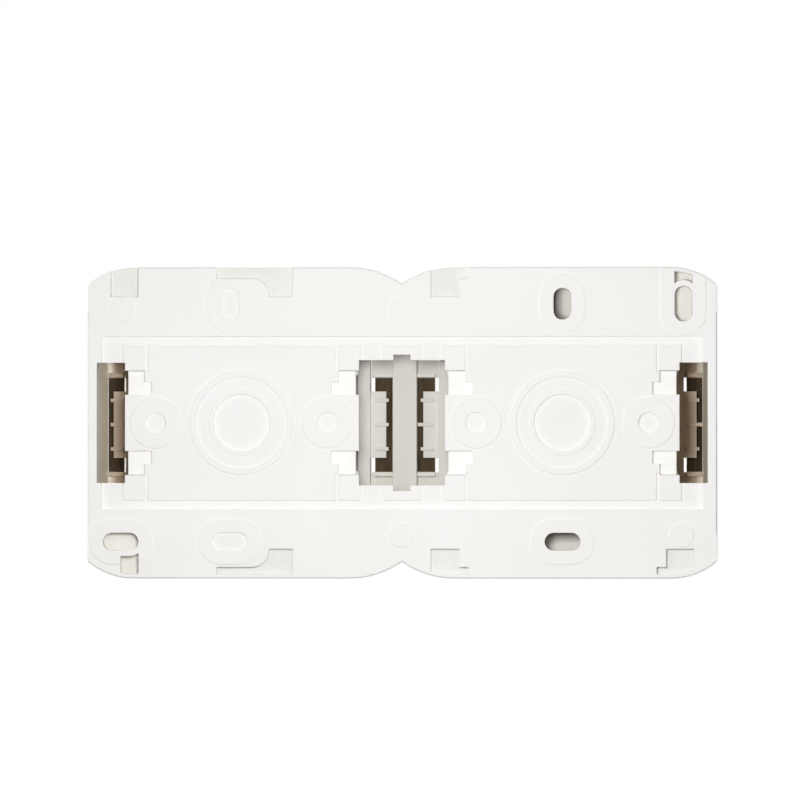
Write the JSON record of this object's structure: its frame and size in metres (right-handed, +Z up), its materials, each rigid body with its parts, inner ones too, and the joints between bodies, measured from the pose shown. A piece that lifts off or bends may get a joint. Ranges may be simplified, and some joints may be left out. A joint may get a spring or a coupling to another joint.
{
  "type": "switch and socket combination",
  "caption": "On-wall twin unit with a round earthed socket and a rocker switch side by side, on a clip-on base plate with wall screw slots and cable windows.",
  "frame": {"origin": "centre of the twin outline in the plane of the wall", "axes": "+Z up, +Y from the room into the wall, +X from the socket half to the switch half"},
  "size_m": [0.1592, 0.045, 0.0786],
  "materials": {
    "housing_plastic": "satin",
    "cover_plastic": "gloss",
    "mechanism_plastic": "matte",
    "shutter_plastic": "satin",
    "brass": "bright",
    "steel": "zinc plated",
    "contact_silver": "satin",
    "dark_steel": "burnished"
  },
  "bodies": {
    "housing": {"base_plate": "housing_plastic", "front_frame": "cover_plastic", "latch_plates": "dark_steel", "socket_insert": "cover_plastic", "socket_base": "mechanism_plastic", "line_contact": "brass", "neutral_contact": "brass", "earth_bracket": "steel", "shutter_spring": "steel", "centre_screw": "steel", "socket_terminal_screws": "steel", "socket_terminal_clamps": "steel", "earth_terminal_screw": "steel", "earth_terminal_clamp": "steel", "switch_insert": "cover_plastic", "switch_base": "mechanism_plastic", "switch_cap": "mechanism_plastic", "common_terminal": "brass", "load_terminal": "brass", "fixed_contact": "contact_silver", "switch_terminal_screws": "steel", "switch_terminal_clamps": "steel"},
    "rocker": {"rocker_key": "cover_plastic", "rocker_cradle": "mechanism_plastic", "plunger": "mechanism_plastic", "plunger_spring": "steel"},
    "lever": {"contact_lever": "brass", "lever_contact": "contact_silver"},
    "shutter_body": {"shutter": "shutter_plastic"}
  },
  "joints": [
    {"name": "rocker_pivot", "type": "hinge", "parent": "housing", "child": "rocker", "pos_m": [0.0405, -0.0355, 0], "axis": [-1, 0, 0], "range_deg": [0, 8]},
    {"name": "lever_pivot", "type": "hinge", "parent": "housing", "child": "lever", "pos_m": [0.0405, -0.017, 0], "axis": [1, 0, 0], "range_deg": [0, 11]},
    {"name": "shutter_slide", "type": "slide", "parent": "housing", "child": "shutter_body", "axis": [0, 0, 1], "range_m": [0, 0.0062], "stiffness_N_per_m": 60, "springref_m": -0.01, "deforming": ["shutter_spring"]}
  ],
  "couplings": [
    {"joint": "lever_pivot", "follows": "rocker_pivot", "ratio": 1.375}
  ]
}
